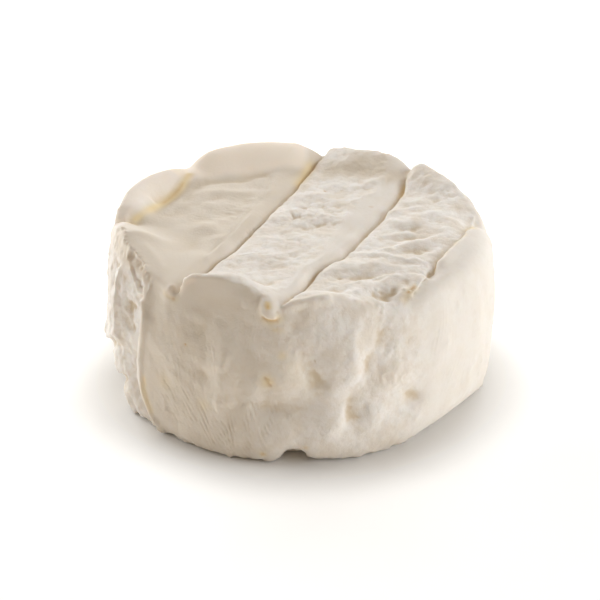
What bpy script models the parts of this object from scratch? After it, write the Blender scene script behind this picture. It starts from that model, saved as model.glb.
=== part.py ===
"""A small soft-ripened cheese wheel with a white bloomy rind and wire marks across its top.

The wheel stands on its base: +Z is up, the origin is the centre of the base, and -Y is the front.
A bearing is an angle round the wheel in degrees, counterclockwise from +X, so the front is -90.
Sizes are in millimetres until the mesh is written, in metres.
"""

import math

import bmesh
import bpy
import numpy as np
from mathutils import Vector, noise

METRES_PER_MM = 0.001

# Driving dimensions of the wheel
BELLY_RADIUS = 49.6
BELLY_HEIGHT = 24.0
TOP_INSET = 3.7
TOP_INSET_HEIGHT = 46.0
FLOOR_HEIGHT = 42.3
FLOOR_DISH = 0.8
RIM_ROUND_IN = 0.9
RIM_ROUND_DOWN = 1.7
FOOT_ROUND_UP = 5.0

# The base's edge: its radius at these bearings
FOOT_BEARINGS = (-180, -164, -149, -138, -127, -116, -104, -87, -76, -56, -46, -34, -24, -14, 0, 60, 120)
FOOT_RADII = (45.2, 44.6, 48.0, 47.6, 45.3, 47.4, 45.6, 43.8, 45.2, 43.8, 40.8, 40.4, 42.4, 45.8, 46.8, 45.6, 45.8)

# The rack's wires, which pressed the grooves. Each wire is a line across the top: its places along
# the groove, how far right of the wheel's middle it lies at each, and the groove's left flank there
WIRE_TURN = 24.0
WIRES = (
    ((-20, -12, 0, 11, 21), (-41.3, -40.3, -39.5, -40.1, -42.1), (5.0, 6.0, 6.5, 6.0, 4.0)),
    ((-44, -34, -20, 0, 20, 44), (-11.2, -9.6, -9.1, -10.0, -10.8, -12.7), (3.0, 4.2, 4.6, 4.2, 7.0, 7.0)),
    ((-44, -34, -23, -14, 0, 26, 44), (14.3, 15.8, 14.2, 16.8, 17.2, 16.7, 12.8), (2.6, 4.2, 3.5, 4.5, 8.4, 8.0, 5.0)),
    ((-32, -22, -6, 8, 26), (37.6, 39.3, 39.6, 40.2, 39.2), (2.5, 3.0, 3.5, 3.5, 4.5)),
)
WIRE_DEPTHS = (2.0, 2.5, 2.6, 1.9)
SHORT_FLANKS = (4.2, 2.1, 2.3, 2.1)
SHOULDER_RISES = (0.0, 0.6, 0.2, 0.0)
BASE_WIRE_DEPTH = 0.9
BASE_WIRE_HALF_WIDTH = 2.4

# Mesh fineness before the facets are thinned
TOP_CUTS = 118
SIDE_ROWS = 60
FACET_BUDGET = 11600


def smooth_step(low, high, value):
    """0 below low, 1 above high, and a soft rise between them."""
    t = np.clip((value - low) / (high - low), 0.0, 1.0)
    return t * t * (3.0 - 2.0 * t)


def soft_line(value, places, amounts, softness, period=None):
    """Joins the amounts given at a few places with a line whose corners are rounded."""
    steps = np.linspace(-1.0, 1.0, 7) * softness
    return sum(np.interp(value + s, places, amounts, period=period) for s in steps) / len(steps)


def bearing_gap(bearing, centre):
    """The signed turn from centre to bearing, in degrees, from -180 to 180."""
    return (bearing - centre + 180.0) % 360.0 - 180.0


def round_bump(bearing, centre, half_width):
    """1 at one bearing, fading to 0 on both sides of it."""
    return np.exp(-((bearing_gap(bearing, centre) / half_width) ** 2))


def lumps(x, y, z, size, seed):
    """Soft random lumps about size across, from -1 to 1."""
    shift = Vector((seed * 17.3, seed * 5.1, seed * 9.7))
    return np.array([noise.noise(Vector(p) / size + shift) for p in zip(x, y, z)])


# Round the wheel: bearing, half width in degrees, and how far the whole wall stands out or in
WALL_SWELLS = (
    (-92.0, 40.0, -0.6),
    (90.0, 60.0, -0.9),
    (48.0, 14.0, 0.5),
    (128.0, 12.0, -0.4),
)


def belly_radius(bearing):
    """The widest radius of the wheel at each bearing."""
    radius = np.full_like(bearing, BELLY_RADIUS)
    for centre, half_width, amount in WALL_SWELLS:
        radius += amount * round_bump(bearing, centre, half_width)
    return radius


def foot_radius(bearing):
    """How far out the base reaches at each bearing."""
    return soft_line(bearing, FOOT_BEARINGS, FOOT_RADII, 4.0, period=360.0)


def foot_round(bearing):
    """How high the rounded edge at the base climbs: it is broadest at the front right."""
    front_right = round_bump(bearing, -38.0, 26.0)
    left = round_bump(bearing, -165.0, 14.0)
    return FOOT_ROUND_UP + 8.0 * front_right + 5.0 * left


def rim_round(bearing):
    """Width and height of the rounded edge at the top, which is broad on the right alone."""
    soft = round_bump(bearing, -19.0, 30.0) + 0.45 * round_bump(bearing, -66.0, 8.0)
    return RIM_ROUND_IN + 4.8 * soft, RIM_ROUND_DOWN + 6.8 * soft


def wall_radius(bearing, height):
    """The plain wall's radius at a height: widest at the belly and leaning in above it."""
    above = np.clip((height - BELLY_HEIGHT) / (TOP_INSET_HEIGHT - BELLY_HEIGHT), 0.0, 1.2)
    below = np.clip((BELLY_HEIGHT - height) / BELLY_HEIGHT, 0.0, 1.0)
    return belly_radius(bearing) - TOP_INSET * above**2 - 0.7 * below**2


def across_along(x, y):
    """Places across the wires and along them."""
    turn = math.radians(WIRE_TURN)
    return x * math.cos(turn) - y * math.sin(turn), x * math.sin(turn) + y * math.cos(turn)


# The rim stands up in a lobe between each notch and the next, counterclockwise from the right:
# the notch's bearing and height, the share of the way to the lobe's crest, the crest's height,
# how bluntly the rim climbs to the crest and falls from it, and the width of the slope inside
LOBES = (
    (7.0, 39.8, 0.8, 44.8, 1.2, 2.6, 9.0),
    (50.0, 42.7, 0.56, 45.1, 3.0, 3.2, 12.5),
    (82.0, 42.8, 0.6, 47.0, 2.2, 4.6, 12.0),
    (131.0, 44.1, 0.74, 47.1, 1.4, 4.5, 7.5),
    (181.6, 42.4, 0.36, 46.4, 1.8, 0.72, 13.0),
    (231.8, 41.4, 0.57, 48.4, 1.9, 1.9, 8.5),
    (262.6, 43.3, 0.38, 44.5, 2.0, 0.9, 7.0),
    (301.0, 40.0, 0.5, 42.0, 2.0, 2.0, 8.0),
)


def rim_height(bearing):
    """The rim's height at each bearing, before the wires cut their notches."""
    height = np.zeros_like(bearing)
    for index, (start, low, crest_share, crest, climb, fall, _) in enumerate(LOBES):
        end, next_low = LOBES[(index + 1) % len(LOBES)][:2]
        share = ((bearing - start) % 360.0) / ((end - start) % 360.0)
        inside = share < 1.0
        rising = np.clip(1.0 - share / crest_share, 0.0, 1.0) ** climb
        falling = np.clip((share - crest_share) / (1.0 - crest_share), 0.0, 1.0) ** fall
        lobe = crest - (crest - low) * rising - (crest - next_low) * falling
        height[inside] = lobe[inside]
    return height


def slope_width(bearing):
    """How wide the slope on the rim's inside is at each bearing."""
    middles = [(lobe[0] + 0.5 * ((after[0] - lobe[0]) % 360.0)) for lobe, after in zip(LOBES, LOBES[1:] + LOBES[:1])]
    return soft_line(bearing % 360.0, middles, [lobe[6] for lobe in LOBES], 6.0, period=360.0)


def wire_gap(index, across, along):
    """How far a point lies to the right of a wire's crease."""
    places, offsets, _ = WIRES[index]
    wander = 0.16 * np.sin(along / 3.1 + index * 2.0) + 0.09 * np.sin(along / 1.7 + index)
    return across - soft_line(along, places, offsets, 2.6) - wander


def wire_groove(index, across, along):
    """The cut that one wire left: a long rounded flank on its left and a short steep one on its right."""
    gap = wire_gap(index, across, along)
    places, _, flanks = WIRES[index]
    flank = soft_line(along, places, flanks, 3.0)
    left = np.clip(1.0 + gap / flank, 0.0, 1.0)
    right = np.clip(1.0 - gap / SHORT_FLANKS[index], 0.0, 1.0)
    shoulder = SHOULDER_RISES[index] * np.exp(-(((gap + flank) / 1.7) ** 2))
    return shoulder - WIRE_DEPTHS[index] * np.where(gap < 0.0, left**2.3, right**1.6)


# Folds and hollows of the top: x, y, half length, half width, turn in degrees, and height
TOP_FORMS = (
    (26.0, -8.2, 4.5, 1.7, 0.0, -0.8),
    (28.5, -12.0, 7.5, 1.5, 29.0, 0.7),
    (28.0, -15.5, 6.0, 1.8, 20.0, -0.5),
    (22.0, -18.3, 9.0, 1.8, -14.0, 0.6),
    (14.0, -24.0, 8.0, 3.4, 8.0, 0.8),
    (12.5, -30.0, 8.0, 2.4, 3.0, -1.1),
    (16.0, -35.8, 8.5, 1.7, 43.0, 0.9),
    (19.2, -38.4, 3.4, 2.8, 30.0, -2.3),
    (25.5, -33.0, 4.0, 2.0, 60.0, -0.6),
    (30.0, 3.0, 6.0, 2.0, 25.0, 0.5),
    (34.0, 12.0, 6.0, 2.4, 50.0, -0.5),
    (-29.0, 8.0, 8.0, 2.4, 65.0, -0.5),
    (-24.0, -1.5, 6.0, 2.4, 20.0, 0.5),
    (-27.0, -12.0, 6.0, 3.0, 55.0, -0.6),
    (-36.0, -13.0, 6.5, 2.2, 12.0, 0.8),
    (-4.0, 6.0, 6.0, 2.5, 20.0, 0.6),
    (1.0, -2.0, 7.0, 2.2, -10.0, -0.5),
    (-10.0, -20.0, 8.0, 3.0, 20.0, 0.4),
)


def top_relief(x, y):
    """Soft folds and hollows of the strips between the wires."""
    flat = np.zeros_like(x)
    relief = 0.4 * lumps(x, y, flat, 13.0, 1) + 0.28 * lumps(x, y, flat, 6.0, 2)
    for centre_x, centre_y, half_length, half_width, turn, height in TOP_FORMS:
        c, s = math.cos(math.radians(turn)), math.sin(math.radians(turn))
        lengthways = ((x - centre_x) * c + (y - centre_y) * s) / half_length
        sideways = ((y - centre_y) * c - (x - centre_x) * s) / half_width
        relief += height * np.exp(-(lengthways**2) - sideways**2)
    return relief


def top_height(x, y, rim_radius):
    """The height of the wheel's top, from the middle out to the rim."""
    bearing = np.degrees(np.arctan2(y, x))
    radius = np.hypot(x, y)
    across, along = across_along(x, y)
    floor = FLOOR_HEIGHT - FLOOR_DISH * (1.0 - (radius / rim_radius) ** 2)
    inner = np.clip(1.0 - (rim_radius - radius) / slope_width(bearing), 0.0, 1.0)
    rise = np.sin(inner**1.35 * math.pi / 2)
    height = floor + (rim_height(bearing) - floor) * rise
    height += top_relief(x, y) * (1.0 - 0.6 * rise)
    for index in range(len(WIRES)):
        height += wire_groove(index, across, along) * (1.0 - 0.3 * rise)
    return height


# Dents and swellings of the wall: bearing, height, half width round the wheel, half height, and depth
WALL_DENTS = (
    (-116.0, 38.5, 8.0, 6.0, -1.6),
    (-120.0, 28.0, 5.5, 8.0, -0.9),
    (-105.5, 33.0, 4.6, 6.5, -0.8),
    (-112.0, 24.0, 3.0, 9.0, 1.0),
    (-121.0, 17.0, 4.0, 5.0, -0.6),
    (-98.8, 41.6, 2.1, 2.2, 1.3),
    (-131.5, 40.4, 1.6, 1.6, 1.0),
    (-94.5, 26.0, 4.0, 7.0, 0.7),
    (-87.0, 25.0, 4.6, 6.5, -1.1),
    (-78.6, 28.0, 4.0, 8.5, 1.2),
    (-71.4, 26.5, 2.4, 3.6, -1.0),
    (-64.5, 23.0, 4.0, 3.6, 0.8),
    (-76.2, 15.0, 2.6, 4.6, -1.4),
    (-82.4, 12.0, 4.0, 5.0, 1.0),
    (-69.2, 13.5, 3.6, 4.6, 0.8),
    (-67.5, 35.0, 3.2, 6.5, -0.9),
    (-96.0, 17.0, 9.0, 4.0, -1.0),
    (-103.0, 8.0, 8.0, 3.4, 0.8),
    (-57.5, 15.5, 3.0, 3.2, -0.8),
    (-50.0, 13.5, 5.0, 4.0, 0.6),
    (-30.0, 28.0, 12.0, 8.0, 0.3),
    (-159.0, 27.0, 3.2, 13.0, 0.9),
    (-151.0, 33.0, 3.8, 9.0, -1.2),
    (-171.0, 8.4, 9.0, 2.8, -1.7),
    (-170.0, 3.6, 6.0, 1.8, 0.8),
    (30.0, 26.0, 14.0, 9.0, 0.5),
    (75.0, 18.0, 12.0, 7.0, -0.7),
    (104.0, 30.0, 9.0, 8.0, 0.6),
    (140.0, 20.0, 11.0, 9.0, -0.7),
)


def wall_dents(bearing, height):
    """How far the named dents and swellings move the wall in or out."""
    moved = np.zeros_like(bearing)
    for centre, middle, half_width, half_height, depth in WALL_DENTS:
        round_gap = np.radians(bearing_gap(bearing, centre)) * BELLY_RADIUS / half_width
        up_gap = (height - middle) / half_height
        moved += depth * np.exp(-(round_gap**2) - up_gap**2)
    return moved


# The upright fold at the front left: its bearing at these heights, from the base to the rim
FOLD_HEIGHTS = (0.0, 5.0, 10.0, 15.0, 20.0, 28.0, 34.0, 40.0, 46.0)
FOLD_BEARINGS = (-135.6, -139.2, -142.2, -143.6, -143.0, -140.6, -139.6, -142.0, -145.4)
FOLD_STEP = 3.0


def front_fold(bearing, height):
    """The rind folds over itself along one upright line: the wall left of it lies deeper."""
    line = soft_line(height, FOLD_HEIGHTS, FOLD_BEARINGS, 1.5)
    gap = np.radians(bearing_gap(bearing, line)) * BELLY_RADIUS
    behind = np.exp(-(np.clip(-gap - 1.2, 0.0, None) / 6.0) ** 2)
    step = smooth_step(0.1, 1.2, -gap) * behind
    roll = np.exp(-(((gap - 0.6) / 1.1) ** 2))
    fade = smooth_step(-1.0, 3.0, height) * (1.0 - 0.5 * smooth_step(40.0, 47.0, height))
    return fade * (1.2 * roll - FOLD_STEP * step)


HOOK_HEIGHT = 12.4
HOOK_BEARING = -172.0


def hanging_hook(bearing, height):
    """A tongue of rind on the left that hangs over a small ledge."""
    tongue = round_bump(bearing, HOOK_BEARING, 10.0)
    above = smooth_step(HOOK_HEIGHT - 1.2, HOOK_HEIGHT + 0.6, height)
    fade = 1.0 - smooth_step(HOOK_HEIGHT + 3.0, HOOK_HEIGHT + 12.0, height)
    return 0.9 * tongue * above * fade


def wall_relief(bearing, height):
    """Everything that moves the wall in or out from its plain barrel."""
    turn = np.radians(bearing)
    x, y = BELLY_RADIUS * np.cos(turn), BELLY_RADIUS * np.sin(turn)
    relief = 0.5 * lumps(x, y, height * 0.8, 12.0, 4) + 0.3 * lumps(x, y, height * 0.8, 5.5, 5)
    return relief + wall_dents(bearing, height) + front_fold(bearing, height) + hanging_hook(bearing, height)


ARCH_BEARING = -92.0
ARCH_HALF_WIDTH = 3.4
ARCH_HEIGHT = 3.0


def foot_lift(x, y):
    """How far the base's edge stands off the table: a small arch at the front and uneven edges."""
    bearing = np.degrees(np.arctan2(y, x))
    radius = np.hypot(x, y)
    reach = foot_radius(bearing)
    round_gap = np.radians(bearing_gap(bearing, ARCH_BEARING)) * BELLY_RADIUS / ARCH_HALF_WIDTH
    arch = ARCH_HEIGHT * np.exp(-(round_gap**4)) * smooth_step(reach - 2.6, reach - 0.4, radius)
    flat = np.zeros_like(x)
    uneven = np.clip(lumps(x, y, flat, 9.0, 6), 0.0, 1.0)
    return arch + 0.9 * uneven * smooth_step(reach - 4.0, reach, radius)


def base_wires(x, y):
    """The marks of the same rack on the base, shallower because the wheel was turned often."""
    across, along = across_along(x, y)
    inside = 1.0 - smooth_step(37.0, 42.0, np.hypot(x, y))
    marks = np.zeros_like(x)
    for _, offsets, _ in WIRES:
        gap = (across + offsets[2]) / BASE_WIRE_HALF_WIDTH
        marks += BASE_WIRE_DEPTH * np.clip(1.0 - gap**2, 0.0, 1.0)
    return marks * inside


def lattice():
    """A block of small quads: a square grid, extruded up, with rows cut round its sides."""
    shape = bmesh.new()
    bmesh.ops.create_grid(shape, x_segments=TOP_CUTS, y_segments=TOP_CUTS, size=1.0)
    grown = bmesh.ops.extrude_face_region(shape, geom=shape.faces[:])
    lifted = [v for v in grown["geom"] if isinstance(v, bmesh.types.BMVert)]
    bmesh.ops.translate(shape, verts=lifted, vec=(0.0, 0.0, 1.0))
    upright = [e for e in shape.edges if abs(e.verts[0].co.z - e.verts[1].co.z) > 0.5]
    bmesh.ops.subdivide_edges(shape, edges=upright, cuts=SIDE_ROWS - 1)
    bmesh.ops.recalc_face_normals(shape, faces=shape.faces)
    return shape


def square_to_round(a, b):
    """Turns places in a square into a ring from 0 to 1 and a bearing, at even spacing."""
    ring = np.maximum(np.abs(a), np.abs(b))
    safe = np.where(ring > 0.0, ring, 1.0)
    wide = np.abs(a) >= np.abs(b)
    eighth = math.degrees(math.pi / 4)
    sideways = np.where(a < 0.0, 180.0, 0.0) + eighth * b / np.where(a == 0.0, safe, a)
    upright = np.where(b < 0.0, -90.0, 90.0) - eighth * a / np.where(b == 0.0, safe, b)
    return ring, np.where(wide, sideways, upright)


FOOT_SHARE = 0.16
RIM_SHARE = 0.22


def wheel_points(a, b, level):
    """Where each point of the block lies on the finished wheel, in millimetres."""
    ring, bearing = square_to_round(a, b)
    turn = np.radians(bearing)
    rim_in, rim_down = rim_round(bearing)
    foot_up = foot_round(bearing)
    base_radius = foot_radius(bearing)
    foot_in = wall_radius(bearing, foot_up) - base_radius

    top_radius = wall_radius(bearing, rim_height(bearing) - rim_down) - rim_in
    rim = top_height(top_radius * np.cos(turn), top_radius * np.sin(turn), top_radius)

    foot_turn = np.clip(level / FOOT_SHARE, 0.0, 1.0) * math.pi / 2
    rim_turn = np.clip((level - 1.0 + RIM_SHARE) / RIM_SHARE, 0.0, 1.0) * math.pi / 2
    climb = np.clip((level - FOOT_SHARE) / (1.0 - FOOT_SHARE - RIM_SHARE), 0.0, 1.0)
    height = foot_up * (1.0 - np.cos(foot_turn))
    height += (rim - rim_down - foot_up) * climb + rim_down * np.sin(rim_turn)
    radius = wall_radius(bearing, np.clip(height, foot_up, rim - rim_down))
    radius += foot_in * (np.sin(foot_turn) - 1.0) + rim_in * (np.cos(rim_turn) - 1.0)
    radius += wall_relief(bearing, height) * np.sin(foot_turn) * np.cos(rim_turn)

    on_top = level >= 1.0
    on_side = (level > 0.0) & ~on_top
    radius = np.where(on_side, radius, ring * np.where(on_top, top_radius, base_radius))
    x, y = radius * np.cos(turn), radius * np.sin(turn)
    height = np.where(on_side, height, 0.0)
    height = np.where(on_top, top_height(x, y, top_radius), height)
    base_rise = foot_lift(x, y) + np.where(level <= 0.0, base_wires(x, y), 0.0)
    height += base_rise * np.clip(1.0 - height / 12.0, 0.0, 1.0)
    return np.column_stack((x, y, height))


def rind_material():
    """Soft white mould over ivory paste: pale, warm and matt."""
    material = bpy.data.materials.new("bloomy_rind")
    material.use_nodes = True
    surface = material.node_tree.nodes["Principled BSDF"]
    surface.inputs["Base Color"].default_value = (0.79, 0.73, 0.63, 1.0)
    surface.inputs["Roughness"].default_value = 0.85
    surface.inputs["Metallic"].default_value = 0.0
    return material


def add_wheel():
    """Shapes the block into the wheel and thins its facets where the surface is calm."""
    shape = lattice()
    mesh = bpy.data.meshes.new("cheese_wheel")
    shape.to_mesh(mesh)
    shape.free()
    block = np.empty(len(mesh.vertices) * 3)
    mesh.vertices.foreach_get("co", block)
    a, b, level = block.reshape(-1, 3).T
    points = wheel_points(a, b, level) * METRES_PER_MM
    mesh.vertices.foreach_set("co", points.astype(np.float32).ravel())
    mesh.update()
    mesh.shade_smooth()
    mesh.materials.append(rind_material())
    wheel = bpy.data.objects.new("cheese_wheel", mesh)
    bpy.context.collection.objects.link(wheel)
    soften = wheel.modifiers.new("soften", "SMOOTH")
    soften.factor = 0.5
    soften.iterations = 2
    thin = wheel.modifiers.new("thin_facets", "DECIMATE")
    thin.ratio = FACET_BUDGET / (2 * len(mesh.polygons))
    return wheel


def main():
    for obj in list(bpy.data.objects):
        bpy.data.objects.remove(obj)
    add_wheel()


main()
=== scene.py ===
# %% [markdown]
# # A small soft cheese with a white mould rind
# This lesson dresses one solid: a camembert-like wheel about 100 mm across, whose top was pressed
# by four wires while it was still soft. The imported solid already has the big forms. What is left for
# the lesson is the skin: creases, folds, crumbs, wrinkles, felt-like mould and its stains.
# The imported model is loaded first and is never edited.

# %% Load the imported wheel
import math

import bpy
import numpy as np
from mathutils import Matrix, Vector
from mathutils.bvhtree import BVHTree


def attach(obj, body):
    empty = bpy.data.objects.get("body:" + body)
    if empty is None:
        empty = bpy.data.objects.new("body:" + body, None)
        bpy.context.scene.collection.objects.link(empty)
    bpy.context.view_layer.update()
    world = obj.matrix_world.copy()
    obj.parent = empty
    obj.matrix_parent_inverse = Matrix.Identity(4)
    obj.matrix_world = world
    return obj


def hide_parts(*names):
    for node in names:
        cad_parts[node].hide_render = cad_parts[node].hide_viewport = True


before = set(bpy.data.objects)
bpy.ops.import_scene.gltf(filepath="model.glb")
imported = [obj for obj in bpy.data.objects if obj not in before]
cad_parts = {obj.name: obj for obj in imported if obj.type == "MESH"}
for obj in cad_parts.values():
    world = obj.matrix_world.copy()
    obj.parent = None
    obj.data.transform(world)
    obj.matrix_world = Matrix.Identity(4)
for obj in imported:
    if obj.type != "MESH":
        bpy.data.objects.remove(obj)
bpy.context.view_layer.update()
MM = 0.001
bpy.ops.object.select_all(action="DESELECT")

# %% [markdown]
# ## Camera
# The wheel is seen from about 27 degrees above, from 45 cm, with a long lens, so its sides hardly
# converge. The small shift only slides the frame, as a photographer does when cropping.

# %% Place the camera
VIEW_DOWN = math.radians(27.0)
VIEW_DISTANCE = 450 * MM
LOOK_AT = Vector((0, 0, 21 * MM))
FRAME_PIXELS = 600
PIXELS_PER_MM = 3.87

bpy.ops.object.camera_add()
camera = bpy.context.object
camera.name = "camera"
sight = Vector((0, math.cos(VIEW_DOWN), -math.sin(VIEW_DOWN)))
camera.location = LOOK_AT - sight * VIEW_DISTANCE
camera.rotation_euler = sight.to_track_quat("-Z", "Y").to_euler()
camera.data.sensor_width = 36.0
camera.data.lens = 36.0 * PIXELS_PER_MM * (VIEW_DISTANCE / MM) / FRAME_PIXELS
camera.data.shift_x = -1.0 / FRAME_PIXELS
camera.data.shift_y = -3.0 / FRAME_PIXELS
bpy.context.scene.camera = camera
print("lens, mm:", round(camera.data.lens, 1))

# %% [markdown]
# ## Light
# White food is easily burnt out. Most of the light is a warm fill from all round, as in a light tent.
# A low lamp from the right shows the dents of the wall, and low ones behind and on the left rake over
# the creases of the top. They are a little cooler than the fill, so that lit skin looks neutral and
# shaded skin warm. The plain view transform keeps the warm white from turning grey.

# %% Add the lamps and the world's fill
bpy.context.scene.view_settings.view_transform = "Standard"
LAMPS = (
    # name, bearing and height above the horizon in degrees, watts
    ("lamp_right", -20.0, 18.0, 2.35),
    ("lamp_left_rear", 130.0, 18.0, 2.7),
    ("lamp_left", 170.0, 18.0, 1.5),
    ("lamp_right_rear", 60.0, 18.0, 1.7),
    ("lamp_above", 90.0, 85.0, 0.95),
)
for name, degrees, above, watts in LAMPS:
    turn, rise = math.radians(degrees), math.radians(above)
    aim = Vector((math.cos(turn) * math.cos(rise), math.sin(turn) * math.cos(rise), math.sin(rise)))
    bpy.ops.object.light_add(type="AREA", location=aim * 0.65 + Vector((0, 0, 0.03)))
    lamp = bpy.context.object
    lamp.name = name
    lamp.rotation_euler = (-aim).to_track_quat("-Z", "Y").to_euler()
    lamp.data.shape = "SQUARE"
    lamp.data.size = 0.4
    lamp.data.energy = watts
    lamp.data.color = (0.88, 0.94, 1.0)
world = bpy.data.worlds.new("light_tent")
bpy.context.scene.world = world
world.use_nodes = True
tent = world.node_tree
tent.nodes["Background"].inputs["Color"].default_value = (1.0, 0.80, 0.59, 1.0)
tent_place = tent.nodes.new("ShaderNodeTexCoord")
tent_axes = tent.nodes.new("ShaderNodeSeparateXYZ")
tent_light = tent.nodes.new("ShaderNodeMapRange")
for socket, value in (("From Min", -1.0), ("From Max", 1.0), ("To Min", 0.15), ("To Max", 0.36)):
    tent_light.inputs[socket].default_value = value
tent.links.new(tent_place.outputs["Generated"], tent_axes.inputs["Vector"])
tent.links.new(tent_axes.outputs["Y"], tent_light.inputs["Value"])
tent.links.new(tent_light.outputs["Result"], tent.nodes["Background"].inputs["Strength"])
print("lamps:", len(LAMPS))

# %% [markdown]
# ## A base mesh for the skin
# Carving needs small, even faces. The solid is loose triangles, so a copy of it is merged first,
# then remeshed in voxels of 0.4 mm. Sculptors do the same before they take a fine brush. Voxels leave
# tiny steps and the old facets, so a Smooth modifier follows, weaker at the rim and at the wires.
# A strongly blurred copy then tells where the flank's dents are, and they are pressed a bit deeper.

# %% Copy, merge and remesh
WIRE_TURN = math.radians(24.0)
WIRES = (
    # places along each wire, then its distance from the centre at those places, mm
    ((-20, -12, 0, 11, 21), (-41.3, -40.3, -39.5, -40.1, -42.1)),
    ((-44, -34, -20, 0, 20, 44), (-11.2, -9.6, -9.1, -10.0, -10.8, -12.7)),
    ((-44, -34, -23, -14, 0, 26, 44), (14.3, 15.8, 14.2, 16.8, 17.2, 16.7, 12.8)),
    ((-32, -22, -6, 8, 26), (37.6, 39.3, 39.6, 40.2, 39.2)),
)
skin_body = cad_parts["cheese_wheel"].copy()
skin_body.data = skin_body.data.copy()
skin_body.name = "cheese_skin"
for key in list(skin_body.keys()):
    if key.startswith("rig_"):
        del skin_body[key]
skin_body.parent = None
bpy.context.collection.objects.link(skin_body)
bpy.context.view_layer.objects.active = skin_body
skin_body.select_set(True)
bpy.ops.object.mode_set(mode="EDIT")
bpy.ops.mesh.select_all(action="SELECT")
bpy.ops.mesh.remove_doubles(threshold=0.001 * MM)
bpy.ops.object.mode_set(mode="OBJECT")
remesh = skin_body.modifiers.new("even_faces", "REMESH")
remesh.mode = "VOXEL"
remesh.voxel_size = 0.4 * MM
bpy.ops.object.modifier_apply(modifier=remesh.name)
print("even faces:", len(skin_body.data.polygons))


# %% Read and write the mesh as arrays, in millimetres
def read_points():
    flat = np.empty(len(skin_body.data.vertices) * 3, dtype=np.float32)
    skin_body.data.vertices.foreach_get("co", flat)
    return flat.reshape(-1, 3).astype(np.float64) / MM


def read_normals():
    flat = np.empty(len(skin_body.data.vertices) * 3, dtype=np.float32)
    skin_body.data.vertices.foreach_get("normal", flat)
    return flat.reshape(-1, 3).astype(np.float64)


def write_points(points):
    skin_body.data.vertices.foreach_set("co", (points * MM).astype(np.float32).ravel())
    skin_body.data.update()


def fade(value, low, high):
    """0 below low, 1 above high and a smooth way between."""
    share = np.clip((value - low) / (high - low), 0.0, 1.0)
    return share * share * (3.0 - 2.0 * share)


def set_group(name, weights):
    """Writes one weight for each point into a vertex group, in 24 steps."""
    group = skin_body.vertex_groups.get(name) or skin_body.vertex_groups.new(name=name)
    steps = np.round(np.clip(weights, 0.0, 1.0) * 24).astype(int)
    for step in range(25):
        chosen = np.flatnonzero(steps == step)
        if len(chosen):
            group.add(chosen.tolist(), step / 24.0, "REPLACE")
    return name


# %% Smooth the facets away, but spare the rim and the wires
def wire_point(index, place, aside=0.0):
    """A place on a wire, seen from above, in millimetres."""
    across = np.interp(place, WIRES[index][0], WIRES[index][1]) + aside
    x = across * math.cos(WIRE_TURN) + place * math.sin(WIRE_TURN)
    y = -across * math.sin(WIRE_TURN) + place * math.cos(WIRE_TURN)
    return x, y


skin = read_points()
reach = np.hypot(skin[:, 0], skin[:, 1])
bearing = np.degrees(np.arctan2(skin[:, 1], skin[:, 0]))
across_wires = skin[:, 0] * math.cos(WIRE_TURN) - skin[:, 1] * math.sin(WIRE_TURN)
along_wires = skin[:, 0] * math.sin(WIRE_TURN) + skin[:, 1] * math.cos(WIRE_TURN)
wire_gap = np.min([np.abs(across_wires - np.interp(along_wires, *wire)) for wire in WIRES], axis=0)
near_wire = (1.0 - fade(wire_gap, 1.5, 4.0)) * fade(skin[:, 2], 30, 36)
near_rim = fade(reach, 38, 42) * fade(skin[:, 2], 37, 40)
spared = np.maximum(near_wire, near_rim)
crest_end = np.max([np.exp(-(np.hypot(skin[:, 0] - x, skin[:, 1] - y) / 2.6) ** 2)
                    for x, y in ((-37.6, -5.2), (-36.0, -6.6), (-34.6, -8.3), (-33.0, -10.6), (-31.2, -13.5))], axis=0)
crest_end = crest_end * fade(skin[:, 2], 37, 39)
for name, weights, times in (("open_skin", 1.0 - spared, 40), ("edges", np.ones(len(skin)), 12),
                             ("crest_end", crest_end, 250)):
    smooth = skin_body.modifiers.new("no_facets", "SMOOTH")
    smooth.factor = 0.5
    smooth.iterations = times
    smooth.vertex_group = set_group(name, weights)
    bpy.ops.object.modifier_apply(modifier=smooth.name)
rough_skin = read_points()
blur = skin_body.modifiers.new("blur", "SMOOTH")
blur.factor = 0.5
blur.iterations = 250
bpy.ops.object.modifier_apply(modifier=blur.name)
dents = np.clip(rough_skin - read_points(), -0.9, 0.9)
on_flank = fade(rough_skin[:, 2], 4, 9) * fade(-rough_skin[:, 2], -39, -33)
on_flank = on_flank * fade(bearing, -128, -120)
skin = rough_skin + dents * (0.75 * on_flank)[:, None]
write_points(skin)
normals = read_normals()
print("points to carve:", len(skin), "lowest and highest, mm:", skin[:, 2].min().round(2), skin[:, 2].max().round(2))

# %% [markdown]
# ## Brushes
# Sculpt mode needs a window, so the brushes are written out. Each one moves points along their own
# normals. One follows a line on the skin, one is a single dab, and one lays a patch of ripples.
# A line is given by places on the wall (bearing and height) or on the top (x and y), and a ray finds
# the skin there, so that a stroke always sits on what carries it.

# %% Find places on the skin
def find_skin():
    polygons = [tuple(p.vertices) for p in skin_body.data.polygons]
    return BVHTree.FromPolygons((skin * MM).tolist(), polygons)


skin_tree = find_skin()


def on_wall(degrees, height):
    """The skin at a bearing and a height, in millimetres. Above the rim the ray is lowered until it hits."""
    outward = Vector((math.cos(math.radians(degrees)), math.sin(math.radians(degrees)), 0))
    while True:
        start = outward * 90 * MM + Vector((0, 0, height * MM))
        spot = skin_tree.ray_cast(start, -outward, 55 * MM)[0]
        if spot is not None:
            return np.array(spot) / MM
        height -= 0.3


def on_top(x, y):
    """The skin below a place seen from above, in millimetres."""
    return np.array(skin_tree.ray_cast(Vector((x, y, 90)) * MM, Vector((0, 0, -1)))[0]) / MM


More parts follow.
